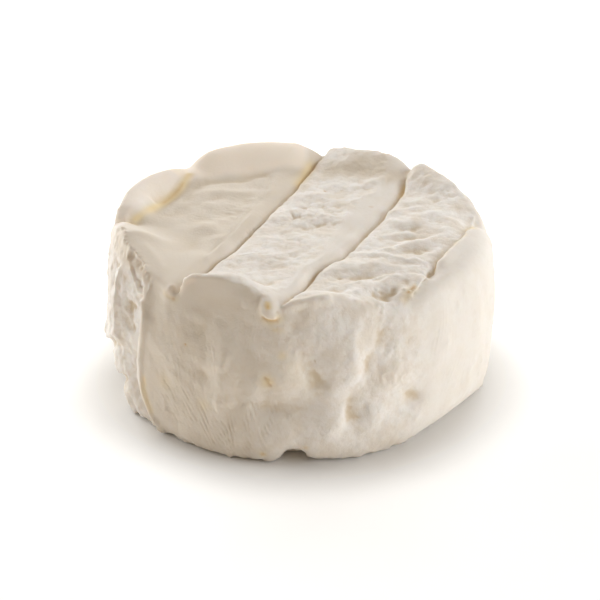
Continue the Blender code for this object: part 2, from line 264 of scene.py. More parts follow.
def on_rim(degrees):
    """The outermost skin of the rim at a bearing, in millimetres."""
    gap = np.abs((bearing - degrees + 180) % 360 - 180)
    close = np.flatnonzero((gap < 0.8) & (skin[:, 2] > 34))
    return skin[close[np.argmax(reach[close] * 0.7 + skin[close, 2])]]


def wall_line(*places):
    return [on_wall(*place) for place in places]


def top_line(*places):
    return [on_top(*place) for place in places]


# %% The brushes
def beside_line(points, facing, line, far):
    """Points near a line: their numbers, distance, side (1 is left of it), place along it, its length."""
    line = np.array(line)
    near = np.flatnonzero(np.all((points > line.min(0) - far) & (points < line.max(0) + far), axis=1))
    spots = points[near]
    gap = np.full(len(near), 1e9)
    side = np.zeros(len(near))
    along = np.zeros(len(near))
    length = 0.0
    for start, end in zip(line[:-1], line[1:]):
        step = end - start
        size = np.linalg.norm(step)
        share = np.clip((spots - start) @ step / size**2, 0.0, 1.0)
        off = spots - start - share[:, None] * step
        distance = np.linalg.norm(off, axis=1)
        turn = np.einsum("ij,ij->i", np.cross(step, off), facing[near])
        closer = distance < gap
        gap[closer] = distance[closer]
        side[closer] = np.sign(turn[closer])
        along[closer] = (length + share * size)[closer]
        length += size
    return near, gap, side, along, length


def stroke(line, lift, width, form="round", taper=3.0):
    """Raises (or with a negative lift, sinks) the skin along a line, in millimetres."""
    near, gap, side, along, length = beside_line(skin, normals, line, width * 3.2)
    if form == "round":
        amount = np.exp(-((gap / width) ** 2))
    elif form == "crest":
        amount = np.exp(-gap / width)
    else:  # a ledge: high on the left of the line, sharp at it, and fading out away from it
        amount = fade(gap * side, -0.25, 0.35) * np.exp(-((gap / width) ** 2))
    if taper:
        amount = amount * fade(np.minimum(along, length - along), -0.01, taper)
    skin[near] += normals[near] * (lift * amount)[:, None]


def dab(spot, lift, width):
    """One round bump or dent."""
    gap = np.linalg.norm(skin - spot, axis=1)
    near = np.flatnonzero(gap < width * 3)
    skin[near] += normals[near] * (lift * np.exp(-((gap[near] / width) ** 2)))[:, None]


def ripples(spot, heading, spacing, size, lift, sway=0.35, length=1.0):
    """A patch of fine wrinkles that run along heading, spacing apart. Size is the patch's half width."""
    gap = skin - spot
    far = np.linalg.norm(gap, axis=1)
    near = np.flatnonzero(far < size * 2.4 * max(1.0, length))
    heading = np.array(heading, dtype=float)
    heading /= np.linalg.norm(heading)
    aside = np.cross(normals[near], heading)
    aside /= np.maximum(np.linalg.norm(aside, axis=1), 0.2)[:, None]
    across = np.einsum("ij,ij->i", gap[near], aside)
    along = gap[near] @ heading
    wave = across + sway * np.sin(along / (spacing * 2.3) + across / (spacing * 3.7)) * spacing
    amount = np.sin(2 * math.pi * wave / spacing)
    amount = amount * (0.6 + 0.4 * np.sin(along / (spacing * 1.9) + 1.3 * across / spacing))
    window = np.exp(-((across / size) ** 2) - (along / (size * length)) ** 2)
    skin[near] += normals[near] * (lift * amount * window)[:, None]


print("brushes ready")

# %% More ways to place and to scatter
def near_skin(*places):
    """The skin nearest to places given as x, y and z, in millimetres."""
    return [np.array(skin_tree.find_nearest(Vector(place) * MM)[0]) / MM for place in places]


def even_spots(line, gap):
    """Spots along a line, a gap apart."""
    line = np.array(line)
    walked = np.concatenate(([0.0], np.cumsum(np.linalg.norm(np.diff(line, axis=0), axis=1))))
    places = np.arange(0.0, walked[-1], gap)
    return np.stack([np.interp(places, walked, line[:, axis]) for axis in range(3)], axis=1)


def carve(place_line, rows):
    """Strokes from a table: lift and width in mm, form, then the places of the line."""
    for lift, width, form, places in rows:
        stroke(place_line(*places), lift, width, form, taper=min(3.0, 4 * width))
    print("strokes:", len(rows))


crumbs = np.random.default_rng(7)


def teeth(line, gap, lift, width):
    """A row of crumbs along a line, one raised and the next sunk."""
    for count, spot in enumerate(even_spots(line, gap)):
        side = 1.0 if count % 2 == 0 else -0.4
        dab(spot + crumbs.normal(0.0, 0.2, 3), side * lift * crumbs.uniform(0.7, 1.3), width)


def crumble(spots, spread, count, lift, width):
    """Small grains, some raised and some sunk, scattered round each spot."""
    for spot in spots:
        for _ in range(count):
            size = width * crumbs.uniform(0.7, 1.3)
            dab(spot + crumbs.normal(0.0, spread, 3), lift * crumbs.uniform(-0.8, 1.0), size)


def grab(spot, move, width):
    """Pulls the skin round a spot one way, in millimetres."""
    gap = np.linalg.norm(skin - spot, axis=1)
    near = np.flatnonzero(gap < width * 3)
    skin[near] += np.array(move) * np.exp(-((gap[near] / width) ** 2))[:, None]


print("placing tools ready")

# %% [markdown]
# ## The wires' creases
# A wire presses a soft curd into a rounded valley, and the rind that grows later folds into a thin
# dark line at its bottom. The left bank is a long soft slope, and the right bank a short sharp one
# with mould right up to its edge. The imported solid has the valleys. The line and its edge are carved
# here. The first wire only grazed the wheel, so it is drawn by its own places.

# %% Carve the creases of the three long wires
for index, first, last, depth in ((1, -38, 40, 1.0), (2, -39, 40, 1.0), (3, -13, 22, 0.8)):
    places = np.arange(first, last + 0.1, 1.5)
    wander = 0.16 * np.sin(places / 3.1 + index * 2.0) + 0.09 * np.sin(places / 1.7 + index)
    crease = [on_top(*wire_point(index, p, w)) for p, w in zip(places, wander)]
    bank = [on_top(*wire_point(index, p, w + 1.0)) for p, w in zip(places, wander)]
    stroke(crease[::-1], 0.55 * depth, 2.0, "ledge", taper=4.0)
    stroke(crease, -0.8 * depth, 0.5, taper=2.0)
    stroke(bank, 0.35 * depth, 0.7, taper=4.0)
for index, first, last, away, lift in ((1, -34, 38, -1.9, 0.35), (2, -34, 38, -2.8, 0.5), (3, -12, 21, 1.7, 0.5)):
    roll = [on_top(*wire_point(index, p, away)) for p in np.arange(first, last + 0.1, 3.0)]
    stroke(roll, lift, 1.4, taper=6.0)
print("deepest crease, mm:", skin[wire_gap < 0.5, 2].min().round(1))

# %% The first wire's shallow crease and the two ends that fade out
old_valley = [on_top(*wire_point(0, p)) for p in (-20, -16, -12, -8, -4)]
stroke(old_valley, 0.9, 1.6, taper=3.0)
dab(on_top(-44.8, -3.2), 1.0, 2.2)
front_end = [on_top(*wire_point(3, p, -0.8)) for p in (-14, -17, -20, -23, -26)]
stroke(front_end, 1.25, 1.9, taper=2.5)
first_line = ((-29.7, 30.1), (-32.0, 22.2), (-34.8, 16.0), (-38.2, 7.2), (-41.7, 0.1), (-43.4, -5.5))
carve(top_line, (
    # lift, width, form, places (x, y)
    (0.15, 0.6, "crest", first_line),
    (-0.50, 1.2, "round", [(x + 1.2, y + 0.2) for x, y in first_line]),
    (-0.55, 2.4, "round", ((-28.0, 26.0), (-29.2, 20.0), (-31.6, 11.0), (-34.6, 3.0))),
    (-0.8, 0.55, "round", ((31.4, -24.8), (30.7, -27.0), (30.2, -28.6), (30.3, -29.6))),
    (-0.25, 0.8, "round", ((29.4, -30.1), (28.2, -32.4), (27.0, -34.6), (25.6, -36.6), (24.2, -38.8))),
    (0.8, 1.4, "round", ((24.9, -32.6), (23.9, -35.6), (22.9, -38.0), (22.0, -40.9))),
    (0.45, 0.7, "crest", ((25.4, -21.0), (28.0, -21.7), (29.2, -22.9), (30.5, -24.0), (31.5, -24.4))),
))

# %% [markdown]
# ## The folded front left
# When the wheel was turned, its skin slid and folded over itself at the left front. What shows is a
# bright lip from the rim down to the foot, a short branch, a hollow behind it, and a torn rim of
# crumbs. Further left, loose skin hangs in ragged tongues.

# %% The lip, its branch and the hollows behind
fold_line = wall_line((-155.4, 44.9), (-154.4, 43.5), (-152.7, 41.4), (-151.2, 39.5), (-149.3, 37.4),
                      (-146.8, 35.6), (-143.2, 35.8), (-140.2, 35.6), (-138.9, 33.4), (-138.6, 30.7),
                      (-139.0, 27.1), (-140.1, 23.2), (-141.0, 19.3), (-141.2, 15.6), (-140.8, 12.2),
                      (-139.6, 9.0), (-138.2, 6.3), (-136.8, 4.2), (-135.7, 2.3))
rim_band = wall_line((-161.4, 46.5), (-157.1, 45.5), (-153.3, 44.8), (-149.6, 43.8), (-146.0, 43.0),
                     (-141.8, 42.6), (-139.9, 41.7), (-138.0, 41.0))
second_ridge = wall_line((-156.4, 41.0), (-157.3, 38.0), (-157.4, 35.0), (-156.9, 31.0), (-156.2, 27.5),
                         (-156.4, 24.0), (-156.7, 21.0), (-154.6, 19.0), (-153.9, 17.4))
behind_lip = wall_line((-148.0, 42.4), (-146.2, 40.4), (-145.0, 38.6), (-144.0, 36.8))
stroke(behind_lip, 0.9, 1.7, taper=1.5)
stroke(wall_line((-151.6, 43.2), (-150.2, 41.3), (-148.9, 39.5), (-147.6, 37.8)), 0.7, 1.1, taper=1.5)
carve(wall_line, (
    # lift, width, form, places (bearing, height)
    (0.60, 0.7, "crest", ((-137.6, 41.6), (-138.4, 39.9), (-139.0, 38.4), (-139.2, 37.2), (-138.8, 35.8))),
    (-1.3, 2.3, "round", ((-149.5, 33.0), (-151.4, 29.5), (-151.0, 26.5), (-149.5, 22.0))),
    (-0.5, 1.2, "round", ((-141.6, 41.6), (-141.0, 39.5), (-140.6, 37.6))),
    (-0.6, 1.3, "round", ((-160.4, 40.2), (-160.0, 38.5), (-158.2, 36.8))),
    (-0.45, 2.0, "round", ((-149.0, 14.5), (-147.5, 10.0), (-145.8, 6.0))),
    (-0.45, 1.2, "round", ((-160.5, 37.0), (-161.0, 31.0), (-160.0, 25.0))),
    (-1.2, 2.6, "round", ((-157.0, 4.0), (-163.0, 2.6), (-170.0, 1.6), (-178.0, 1.5))),
    (-0.2, 0.5, "round", ((-136.5, 40.5), (-131.7, 40.2), (-129.0, 39.4), (-126.9, 40.0))),
))
stroke(second_ridge, 0.75, 0.8, "crest", taper=6.0)
stroke(fold_line[:9], 1.1, 0.65, "round", taper=3.0)
beside_fold = wall_line((-137.2, 34.0), (-137.0, 28.0), (-138.2, 22.0), (-139.0, 16.0), (-138.2, 10.0), (-135.0, 4.0))
stroke(beside_fold, 0.55, 3.0, taper=3.0)
stroke(fold_line[7:], 0.6, 0.75, "round", taper=2.0)
teeth(rim_band, 0.6, 0.4, 0.36)
teeth([spot + (-0.5, -0.3, -0.8) for spot in rim_band], 1.1, 0.35, 0.45)
crumble(even_spots(behind_lip, 0.7), 0.8, 6, 0.4, 0.38)
print("lip points:", len(fold_line))

# %% The tongues at the left
tongue_edges = (
    ((-154.0, 18.4), (-157.0, 19.4), (-160.5, 18.6), (-163.5, 16.4), (-167.0, 15.0), (-172.0, 14.4), (-182.0, 15.0)),
    ((-151.8, 9.9), (-153.6, 10.5), (-156.5, 9.9), (-160.0, 8.0), (-165.0, 6.4), (-171.0, 5.7), (-178.0, 6.4)),
    ((-140.0, 1.6), (-145.0, 1.8), (-148.6, 2.8), (-149.8, 4.4), (-151.6, 6.4), (-152.8, 8.2)),
)
for edge, lift, sink in zip(tongue_edges, (0.55, 0.7, 0.5), (-1.0, -1.5, -0.6)):
    line = wall_line(*edge)
    below = wall_line(*[(degrees, max(height - 1.7, 0.6)) for degrees, height in edge])
    stroke(below, sink, 1.7, taper=3.0)
    stroke(line[::-1], lift, 2.6, "ledge", taper=2.5)
for edge in tongue_edges[:2]:
    crumble(even_spots(wall_line(*edge), 2.0), 0.4, 1, 0.5, 0.7)
print("tongues:", len(tongue_edges))

# %% Crumbs along the torn rim, the foot and the wall
count = 0
for degrees in np.arange(-182.0, -160.5, 0.7):
    spot = on_rim(degrees if degrees > -180 else degrees + 360)
    dab(spot + crumbs.normal(0.0, 0.45, 3), crumbs.uniform(-0.15, 0.42), crumbs.uniform(0.35, 0.60))
    count += 1
for degrees in np.arange(-176.0, 10.0, 1.15):
    spot = on_wall(degrees + crumbs.normal(0, 0.4), crumbs.uniform(0.4, 1.6))
    dab(spot, crumbs.uniform(-0.35, 0.5), crumbs.uniform(0.5, 1.0))
    count += 1
for degrees in np.arange(-134.0, 70.0, 1.3):
    spot = on_wall(degrees + crumbs.normal(0, 0.5), crumbs.uniform(4.0, 38.0))
    dab(spot, crumbs.uniform(-0.15, 0.3), crumbs.uniform(0.5, 1.1))
    count += 1
print("crumbs:", count)

# %% [markdown]
# ## Where the wires left the curd
# At the front end of the second wire the skin rolled up into a tiny curl, and at the third into a
# round bead with a hollow. Both are only a few millimetres wide, but the eye goes to them first.

# %% The curl and the lip that rises beside it
grab(on_rim(-125.6), (0.0, 0.0, 1.3), 2.6)
grab(on_rim(-121.5), (0.0, 0.0, 0.5), 3.0)
for degrees, drop in ((-114.9, 0.5), (-110.3, 0.8), (-107.3, 1.05), (-104.4, 1.15), (-101.4, 0.8)):
    grab(on_rim(degrees), (0.0, 0.0, -drop), 2.8)
skin_tree = find_skin()
dab(near_skin((-30.4, -35.9, 41.6))[0], 0.5, 0.7)
curl = near_skin((-31.0, -36.7, 41.3), (-31.0, -36.1, 41.8), (-30.7, -35.4, 42.1), (-30.1, -35.1, 42.1), (-29.6, -35.4, 41.9))
stroke(curl, 0.55, 0.4, "crest", taper=0)
dab(near_skin((-29.9, -36.2, 41.8))[0], -0.4, 0.35)
lip = near_skin((-29.2, -37.0, 41.4), (-28.7, -37.1, 42.5), (-27.9, -37.3, 43.8), (-26.8, -37.6, 44.8),
                (-25.4, -38.0, 45.5), (-23.6, -38.2, 46.1), (-21.5, -38.8, 46.3))
stroke(lip, 0.7, 0.7, taper=3.5)
skin_tree = find_skin()
crumble(near_skin(*even_spots(lip[:5], 0.6).tolist()), 0.40, 6, 0.30, 0.38)
print("lip from, mm:", lip[0].round(1), "to", lip[-1].round(1))

# %% The bead and the roll on its right
bead = near_skin((-7.2, -46.8, 41.9))[0]
dab(bead, 0.7, 1.9)
ring = near_skin((-7.6, -45.5, 43.8), (-8.3, -45.6, 43.0), (-8.6, -45.8, 41.9), (-8.4, -46.2, 40.7),
                 (-7.5, -46.8, 40.1), (-6.2, -47.0, 39.9), (-5.3, -46.9, 40.3))
stroke(ring, 0.6, 0.7, "round", taper=1.0)
dab(near_skin((-8.2, -46.6, 42.8))[0], 0.6, 0.9)
stroke(near_skin((-7.6, -46.2, 43.4), (-7.6, -46.8, 42.5), (-7.3, -47.2, 41.8)), -0.9, 0.45, taper=0.5)
dab(near_skin((-5.7, -46.9, 41.2))[0], -0.6, 0.5)
below_bead = ((-101.6, 39.6), (-99.9, 39.0), (-98.4, 38.8), (-96.8, 39.1), (-95.8, 39.6))
stroke(wall_line(*below_bead), -0.25, 0.4, taper=1.2)
for degrees, drop in ((-95.0, 0.5), (-92.0, 0.6), (-88.5, 0.5), (-85.0, 0.3)):
    grab(on_rim(degrees), (0.0, -0.3, -drop), 2.4)
skin_tree = find_skin()
stroke(near_skin((-4.9, -47.0, 41.4), (-4.4, -46.9, 42.0), (-3.4, -46.6, 42.7), (-1.8, -46.6, 43.3), (0.2, -46.3, 43.8),
                 (2.3, -45.8, 44.1), (4.8, -45.2, 44.3), (7.5, -44.6, 44.4)), 0.65, 1.3, taper=1.5)
print("bead at, mm:", bead.round(1))

# %% [markdown]
# ## Folds, hollows and wrinkles
# A mould rind is thinner than paper and shrinks as the curd below ripens. Rows of a table give each
# fold one line on the skin: raised or sunk, wide and soft or narrow and sharp. Then come patches of
# fine ripples where the rind was rubbed, and grains where it crumbled.

# %% Folds and hollows of the top
carve(top_line, (
    # lift, width, form, places (x, y). First the long strip on the left
    (-0.50, 1.9, "round", ((-27.9, 26.1), (-23.2, 26.4), (-17.3, 27.2), (-12.1, 30.0), (-7.2, 30.6))),
    (0.45, 2.0, "round", ((-27.6, 20.4), (-24.0, 18.6), (-20.5, 19.8), (-16.5, 18.6), (-13.4, 19.6), (-10.7, 18.2))),
    (-0.30, 1.4, "round", ((-20.5, 13.2), (-17.9, 13.6), (-15.8, 12.4))),
    (0.30, 0.6, "crest", ((-20.3, 8.1), (-17.7, 7.1), (-16.1, 4.8))),
    (0.30, 0.6, "crest", ((-19.5, 5.4), (-17.2, 4.4), (-16.0, 2.2))),
    (0.35, 1.9, "round", ((-25.3, -4.8), (-21.8, -3.7), (-18.7, -6.3))),
    (-0.25, 0.6, "round", ((-7.9, 31.5), (-9.8, 18.2), (-14.6, 2.6), (-18.3, -7.1), (-23.2, -19.5))),
    (0.40, 0.6, "crest", ((-9.2, 22.0), (-12.5, 5.4), (-16.3, -3.9), (-19.9, -13.5), (-23.6, -22.0))),
    (0.20, 1.3, "round", ((-38.7, -16.6), (-34.9, -23.3), (-32.1, -29.1))),
    # the strip in the middle
    (0.55, 1.6, "round", ((12.9, 21.8), (16.2, 24.0), (19.4, 26.2), (22.7, 28.2), (24.0, 27.0))),
    (-0.45, 3.0, "round", ((10.0, 32.5), (14.0, 31.8), (18.0, 31.4), (21.5, 30.6))),
    (-0.70, 1.8, "round", ((-3.8, 3.7), (-1.8, 3.9), (0.3, 6.3))),
    (0.30, 0.7, "crest", ((21.6, 29.8), (19.7, 19.7), (12.8, 12.8), (10.3, 0.9), (7.6, -12.1), (4.1, -22.6))),
    (-0.25, 1.2, "round", ((5.0, -10.0), (0.0, -17.0), (-7.0, -22.0))),
    # the strip on the right
    (0.40, 1.3, "round", ((21.0, 3.5), (24.5, 0.2), (28.5, -0.6), (32.6, 0.1))),
    (-0.25, 1.2, "round", ((22.4, -2.3), (25.9, -3.2), (30.5, -2.5))),
    (0.40, 1.1, "round", ((19.3, -5.7), (22.2, -6.5), (26.3, -5.6), (29.4, -4.2))),
    (-0.25, 1.5, "round", ((22.0, -10.0), (26.7, -8.2), (30.1, -7.8), (32.2, -6.3))),
    (0.45, 1.8, "round", ((18.4, -14.6), (21.7, -16.4), (25.8, -14.7), (29.8, -12.1), (34.1, -7.9), (37.5, -2.4),
                          (39.4, 4.0))),
    (0.42, 1.1, "round", ((8.5, -18.6), (12.1, -15.6), (16.3, -18.0), (20.7, -19.4), (25.4, -21.7), (29.1, -23.6))),
    (0.25, 1.1, "round", ((14.7, -23.4), (19.0, -24.3), (23.3, -25.5), (26.0, -27.9))),
    (-0.55, 1.5, "round", ((6.8, -30.3), (9.0, -29.8), (11.5, -30.4))),
    (0.40, 0.8, "round", ((9.2, -35.3), (12.9, -34.0), (16.4, -31.0), (20.2, -29.4), (23.0, -30.1), (25.8, -31.2))),
    (0.75, 1.5, "round", ((32.6, -26.0), (35.2, -21.0), (38.8, -12.0), (41.6, -5.0), (43.6, 1.0))),
))
stroke(top_line((18.9, -33.7), (20.9, -30.6), (22.8, -29.6), (24.3, -29.9)), 0.3, 0.6, "crest")
for x, y, lift, width in ((20.6, -35.2, 0.5, 1.2), (17.0, -38.0, -0.3, 1.2), (16.8, -41.6, -0.3, 1.1)):
    dab(on_top(x, y), lift, width)
crumble(top_line((14.2, -39.6), (17.6, -36.4), (20.0, -35.6), (18.6, -40.2), (21.6, -33.8)), 1.4, 11, 0.45, 0.45)

# %% Wrinkles of the flap at the back right
FLAP_WRINKLES = (
    ((36.6, 24.2), (35.1, 22.3), (33.4, 19.1)), ((38.6, 23.0), (37.7, 21.9), (35.9, 18.6), (34.7, 15.9)),
    ((33.9, 28.4), (31.3, 25.4), (30.5, 23.7)), ((40.2, 20.6), (39.6, 19.2), (37.9, 15.4)),
    ((34.6, 27.0), (32.6, 24.5), (30.8, 20.9)), ((41.3, 17.6), (40.3, 14.4), (38.8, 10.0)),
    ((31.6, 29.8), (29.8, 27.4), (29.2, 25.2)), ((44.6, 9.2), (43.7, 3.6), (42.8, -0.2)),
)
for places in FLAP_WRINKLES:
    stroke(top_line(*places), crumbs.uniform(0.15, 0.35), 0.55, taper=2.2)
crumble(top_line((30.0, 23.0), (34.0, 21.0), (37.0, 18.0)), 2.0, 8, 0.25, 0.6)
stroke(top_line((27.6, 19.0), (30.5, 16.8), (34.0, 15.0), (37.0, 13.0)), -0.2, 1.0)
print("flap wrinkles:", len(FLAP_WRINKLES))

# %% Ridges and hollows of the wall
carve(wall_line, (
    # lift, width, form, places (bearing, height)
    (0.75, 2.0, "round", ((-76.2, 37.0), (-75.8, 34.0), (-75.4, 30.4), (-75.4, 26.0), (-76.1, 22.1))),
    (-0.55, 1.9, "round", ((-70.3, 25.7), (-68.4, 26.1), (-66.9, 26.0))),
    (-0.55, 1.3, "round", ((-73.0, 18.2), (-72.4, 15.0), (-71.5, 12.0), (-70.7, 9.1))),
    (-0.35, 1.3, "round", ((-72.4, 14.6), (-74.0, 12.2), (-75.8, 10.9))),
    (0.60, 1.7, "round", ((-77.8, 18.6), (-79.2, 14.0), (-80.6, 9.4))),
    (-0.45, 1.3, "round", ((-63.3, 20.7), (-60.3, 17.8), (-56.3, 15.1), (-53.5, 13.1))),
    (-0.60, 3.2, "round", ((-121.0, 36.8), (-121.6, 33.0), (-122.0, 30.0))),
    (0.40, 1.5, "round", ((-119.0, 30.0), (-117.4, 32.6), (-114.6, 34.4), (-111.8, 34.2))),
    (-0.45, 1.4, "round", ((-109.8, 36.4), (-110.0, 33.1), (-109.4, 30.4))),
    (-0.50, 2.3, "round", ((-118.6, 25.4), (-119.3, 22.4), (-119.5, 19.0))),
    (0.65, 1.3, "round", ((-110.8, 31.0), (-111.6, 27.4), (-113.0, 24.0))),
    (0.65, 1.2, "round", ((-114.0, 18.6), (-112.9, 14.1), (-113.6, 10.6))),
    (0.45, 1.3, "round", ((-111.4, 19.6), (-110.0, 17.0), (-108.6, 14.6))),
    (0.40, 2.0, "round", ((-104.1, 24.7), (-102.4, 21.4), (-100.9, 19.2))),
    (0.50, 2.0, "round", ((-90.6, 28.0), (-90.4, 24.0), (-91.2, 20.6))),
    (-0.45, 1.7, "round", ((-106.0, 15.9), (-101.0, 16.4), (-95.9, 16.2), (-92.0, 17.1))),
    (-0.50, 2.0, "round", ((-86.0, 27.4), (-85.4, 24.0), (-85.0, 20.4))),
))
stain = ((-100.5, 24.8), (-99.5, 24.0), (-98.9, 22.9), (-97.6, 22.2))
stroke(wall_line(*stain), -0.30, 0.45, taper=0.8)
stroke(wall_line((-99.4, 23.9), (-98.2, 24.6)), -0.3, 0.4, taper=0.6)

# %% Grains where the rind crumbled
star_patch = wall_line((-91.9, 34.4), (-90.3, 32.4), (-88.6, 33.9), (-87.2, 31.8), (-90.4, 30.4), (-87.5, 34.8))
crumble(star_patch, 0.9, 8, 0.30, 0.55)
seam = wall_line((-65.3, 40.0), (-67.2, 38.2), (-65.9, 35.4), (-65.5, 32.9), (-65.1, 30.5), (-64.2, 28.0))
crumble(even_spots(seam, 1.0), 0.7, 5, 0.28, 0.45)
for degrees, height, wide, high in ((-66.0, 22.6, 1.3, 2.2), (-63.2, 22.4, 0.9, 1.7), (-60.0, 21.6, 1.6, 1.5)):
    turns = np.radians(np.arange(20, 330, 30))
    loop = [(degrees + wide * math.cos(t) * (1 + 0.15 * math.sin(3 * t)) * 1.2, height + high * math.sin(t)) for t in turns]
    stroke(wall_line(*loop), 0.28, 0.42, "crest", taper=1.0)
    crumble(wall_line((degrees, height)), 0.9, 8, 0.2, 0.45)
crumble(wall_line((-58.0, 18.6), (-56.0, 16.6), (-61.5, 19.0)), 1.2, 8, 0.2, 0.5)
print("crumbled patches done")

# %% Fine ripples where the rind was rubbed
WALL_COMBS = (
    # bearing, height, lean of the ripples from upright in degrees, spacing, patch size, lift
    (-108.8, 8.0, -16, 1.0, 5.5, 0.22),
    (-104.1, 8.5, -18, 1.0, 4.5, 0.22),
    (-102.0, 14.5, -24, 1.1, 4.5, 0.15),
    (-96.5, 13.0, -28, 1.1, 4.0, 0.10),
    (-116.5, 8.5, -30, 1.1, 5.5, 0.15),
    (-102.7, 34.0, 3, 0.9, 6.0, 0.09),
    (-97.5, 32.0, 3, 0.9, 4.0, 0.07),
    (-126.0, 20.5, -14, 1.0, 5.5, 0.08),
    (-128.0, 12.0, -38, 1.1, 6.0, 0.09),
    (-114.0, 26.0, -24, 1.0, 4.5, 0.09),
    (-84.0, 10.0, -32, 1.1, 4.5, 0.06),
    (-47.0, 30.0, 8, 1.2, 6.0, 0.05),
    (-40.0, 18.0, 25, 1.3, 5.0, 0.05),
    (-162.0, 25.0, 8, 1.2, 4.0, 0.08),
    (-170.0, 35.0, -8, 1.3, 6.0, 0.10),
)
for degrees, height, lean, spacing, size, lift in WALL_COMBS:
    turn = math.radians(degrees)
    sideways = np.array((-math.sin(turn), math.cos(turn), 0.0))
    heading = np.array((0.0, 0.0, 1.0)) * math.cos(math.radians(lean)) + sideways * math.sin(math.radians(lean))
    ripples(on_wall(degrees, height), heading, spacing, size, lift, length=1.3)
TOP_COMBS = (
    # x, y, heading in degrees from +X, spacing, patch size, lift, length
    (-27.0, -21.0, 100, 0.95, 3.0, 0.10, 1.0),
    (-22.0, -4.0, 155, 1.0, 3.5, 0.05, 1.2),
    (-6.0, -14.0, 10, 1.2, 6.0, 0.06, 1.3),
    (-12.0, -20.0, 14, 1.3, 6.0, 0.06, 1.3),
    (-2.0, -24.0, 100, 1.0, 3.5, 0.07, 1.1),
    (-14.0, -31.0, 20, 1.1, 4.5, 0.05, 1.3),
    (16.0, -33.0, 60, 1.1, 4.0, 0.05, 1.1),
    (-16.0, 8.0, -20, 2.0, 6.0, 0.06, 1.2),
)
for x, y, degrees, spacing, size, lift, length in TOP_COMBS:
    heading = (math.cos(math.radians(degrees)), math.sin(math.radians(degrees)), 0.0)
    ripples(on_top(x, y), heading, spacing, size, lift, length=length)
BUMPS = (
    # x, y, lift and width of the soft bumps and hollows between the wires
    (-21, 14, .25, 1.5), (-25, 16, .3, 1.6), (-13, 15, .3, 1.5), (-24, 8, -.25, 2.0), (-20, 2, .3, 1.6),
    (-16, 9, .3, 1.4), (-24, 12, .25, 1.4), (-27, 12, -.3, 2.0), (-21, -9, .2, 1.6), (-30, 4, -.2, 2.5),
    (-3, 8, .35, 1.3), (1, 10, -.35, 1.3), (4, 12, .35, 1.4), (-4, -3, .3, 1.5), (-9, -8, .3, 1.5), (6, 6, .3, 1.3),
    (4, 1, -.35, 1.5), (0, -8, .25, 1.5), (-12, -14, .25, 1.6), (9, 14, .3, 1.4), (3, 18, .25, 1.5),
    (34, 6, .3, 1.4), (30, 10, .25, 1.5), (27, 12, -.3, 1.5), (24, 8, .3, 1.5),
)
for x, y, lift, width in BUMPS:
    dab(on_top(x, y), lift, width)
print("combs:", len(WALL_COMBS) + len(TOP_COMBS), "bumps:", len(BUMPS))

# %% [markdown]
# ## Mould relief
# White mould is a felt of threads. Where it grew undisturbed it is patted into grains and pills, and
# where the skin was pressed or rubbed it is smooth. Displace modifiers with procedural textures give
# the relief, each held to its own area by a vertex group, and stretched by an empty that it reads.

# %% Where the skin is rough and where it is smooth
FLAP_BASE = ((-30, -27.6, -24, -20, -15, -9, -4.7, 0), (26, 27.2, 27, 28.6, 29.8, 32, 33.6, 35))


def smooth_areas(points):
    """1 where the skin is pressed smooth: bands beside the wires, the right flank, the flaps."""
    across = points[:, 0] * math.cos(WIRE_TURN) - points[:, 1] * math.sin(WIRE_TURN)
    along = points[:, 0] * math.sin(WIRE_TURN) + points[:, 1] * math.cos(WIRE_TURN)
    bands = np.zeros(len(points))
    for index, width in ((1, (3.0, 4.2, 4.6, 4.2, 4.6)), (2, (3.6, 4.4, 7.6, 8.4, 6.0))):
        line = np.interp(along, *WIRES[index])
        wide = np.interp(along, (-34, -20, 0, 20, 40), width)
        bands = np.maximum(bands, fade(across, line - wide - 0.8, line - wide + 0.8) * fade(-across, -line - 0.2, -line + 0.5))
    beyond = fade(across, np.interp(along, *WIRES[3]) - 0.3, np.interp(along, *WIRES[3]) + 1.2)
    high = fade(points[:, 2], 37, 40)
    angle = np.degrees(np.arctan2(points[:, 1], points[:, 0]))
    flank = fade(angle, -60, -50) * fade(-angle, -75, -50) * fade(-points[:, 2], -42, -38)
    flap = fade(points[:, 1] - np.interp(points[:, 0], *FLAP_BASE), -2.5, 0) * fade(-points[:, 0], -4, 1) * high
    peak = fade(-points[:, 0] - 0.35 * points[:, 1], 27, 33) * fade(-points[:, 1], -2, 4) * high
    near_fold = (1 - fade(np.abs(angle + 139), 5, 8)) * fade(points[:, 2], 2, 5)
    left_flap = fade(-across, 35.0, 37.0) * high
    return np.clip(np.maximum.reduce([bands * high, beyond * high, 0.95 * flank, 0.9 * flap, peak, 0.9 * left_flap, 0.5 * near_fold]), 0, 1)


write_points(skin)
normals = read_normals()
upward = fade(normals[:, 2], 0.45, 0.85)
sideways = 1.0 - fade(np.abs(normals[:, 2]), 0.5, 0.9)
calm = smooth_areas(skin)
brainy = np.exp(-(((skin[:, 0] - 4) / 8.5) ** 2 + ((skin[:, 1] - 6) / 8.5) ** 2) ** 1.5)
brainy = np.maximum(brainy, 0.15 * fade(across_wires, -9, -7) * fade(-across_wires, -13, -8)) * upward
left_strip = fade(np.interp(along_wires, *WIRES[1]) - across_wires, 0.5, 2.5)
right_strip = fade(across_wires - np.interp(along_wires, *WIRES[2]), 0.5, 2.5)
torn = 1.0 - fade(np.abs((bearing + 163 + 180) % 360 - 180), 15, 20)
print("smooth share of the skin:", calm.mean().round(2))

